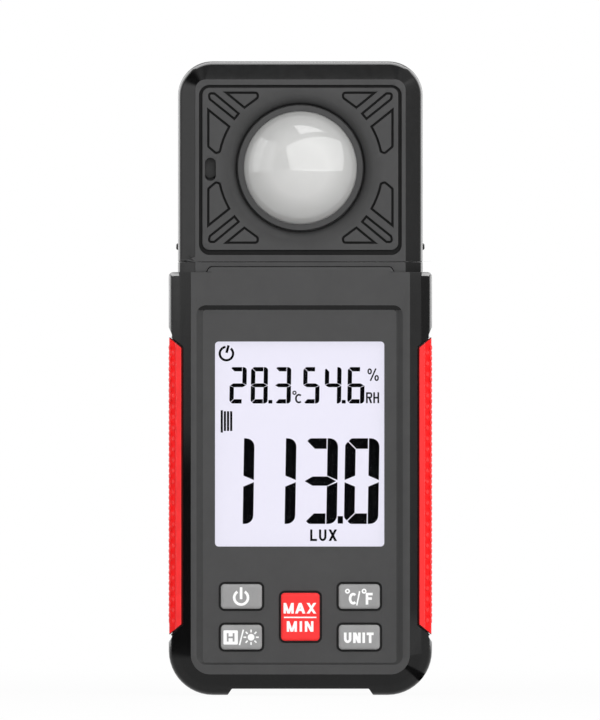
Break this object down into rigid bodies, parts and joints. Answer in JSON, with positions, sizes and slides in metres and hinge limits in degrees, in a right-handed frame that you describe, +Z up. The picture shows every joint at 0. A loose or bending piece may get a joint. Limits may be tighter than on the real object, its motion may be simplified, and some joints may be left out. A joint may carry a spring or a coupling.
{
  "type": "handheld light meter",
  "caption": "Handheld light meter with a swivelling sensor head under a white dome, a large display, soft keys, side grips and a battery bay.",
  "frame": {"origin": "middle of the bounding box on the plane of the two feet", "axes": "+Z up along the meter from its feet to the top of the sensor head, front with display and dome towards -Y, +X to the right seen from the front"},
  "size_m": [0.0738, 0.034, 0.1777],
  "materials": {
    "case_plastic": "dark grey moulded ABS with a fine satin grain",
    "head_plastic": "dark grey moulded ABS with a fine satin grain",
    "black_plastic": "black acetal",
    "red_rubber": "red soft-touch elastomer with raised studs",
    "red_key": "red satin keycap",
    "grey_key": "grey satin keycap",
    "key_rubber": "dark grey silicone rubber",
    "dome_white": "milky translucent diffuser plastic",
    "window": "clear acrylic window",
    "lcd": "display glass with a pale backlit field",
    "white_plastic": "white moulded plastic",
    "board": "green glass-fibre circuit board",
    "chip": "black moulded components",
    "steel": "bright zinc-plated steel",
    "brass": "turned brass",
    "filter": "green optical filter glass",
    "cell_wrap": "printed cell sleeve",
    "wire": "wire insulation",
    "membrane": "grey filter membrane",
    "zebra": "striped elastomer connector"
  },
  "bodies": {
    "case": {"front_case": "case_plastic", "rear_case": "case_plastic", "case_screws": "steel", "grip_left": "red_rubber", "grip_right": "red_rubber", "neck_collar": "case_plastic", "lcd_window": "window", "lcd_glass": "lcd", "lcd_backlight": "white_plastic", "lcd_frame": "white_plastic", "zebra_strips": "zebra", "main_board": "board", "board_components": "chip", "board_screws": "steel", "harness_connector": "white_plastic", "sensor_harness": "wire", "keypad_mat": "key_rubber", "battery_cells": "cell_wrap", "battery_springs": "steel", "battery_contacts": "steel", "tripod_insert": "brass", "swivel_washer": "brass"},
    "head": {"swivel_spigot": "black_plastic", "swivel_retaining_ring": "steel", "head_front_shell": "head_plastic", "head_rear_shell": "head_plastic", "head_screws": "steel", "diffuser_dome": "dome_white", "dome_ring": "head_plastic", "sensor_holder": "black_plastic", "colour_filter": "filter", "photodiode": "chip", "sensor_board": "board", "sensor_board_screws": "steel", "sensor_connector": "white_plastic", "humidity_sensor": "chip", "humidity_vent": "membrane"},
    "door": {"battery_door": "case_plastic", "battery_door_latch": "case_plastic"},
    "power_key": {"power_key": "grey_key"},
    "hold_key": {"hold_key": "grey_key"},
    "max_min_key": {"max_min_key": "red_key"},
    "temperature_key": {"temperature_key": "grey_key"},
    "unit_key": {"unit_key": "grey_key"}
  },
  "joints": [
    {"name": "head_swivel", "type": "hinge", "parent": "case", "child": "head", "pos_m": [0, 0.003, 0.1217], "axis": [0, 0, 1], "range_deg": [-90, 180]},
    {"name": "battery_door_hinge", "type": "hinge", "parent": "case", "child": "door", "pos_m": [0, 0.0156, 0.0094], "axis": [-1, 0, 0], "range_deg": [0, 75], "deforming": ["battery_door_latch"]},
    {"name": "power_key_press", "type": "slide", "parent": "case", "child": "power_key", "axis": [0, 1, 0], "range_m": [0, 0.0006], "stiffness_N_per_m": 1500, "deforming": ["keypad_mat"]},
    {"name": "hold_key_press", "type": "slide", "parent": "case", "child": "hold_key", "axis": [0, 1, 0], "range_m": [0, 0.0006], "stiffness_N_per_m": 1500, "deforming": ["keypad_mat"]},
    {"name": "max_min_key_press", "type": "slide", "parent": "case", "child": "max_min_key", "axis": [0, 1, 0], "range_m": [0, 0.0006], "stiffness_N_per_m": 1500, "deforming": ["keypad_mat"]},
    {"name": "temperature_key_press", "type": "slide", "parent": "case", "child": "temperature_key", "axis": [0, 1, 0], "range_m": [0, 0.0006], "stiffness_N_per_m": 1500, "deforming": ["keypad_mat"]},
    {"name": "unit_key_press", "type": "slide", "parent": "case", "child": "unit_key", "axis": [0, 1, 0], "range_m": [0, 0.0006], "stiffness_N_per_m": 1500, "deforming": ["keypad_mat"]}
  ]
}
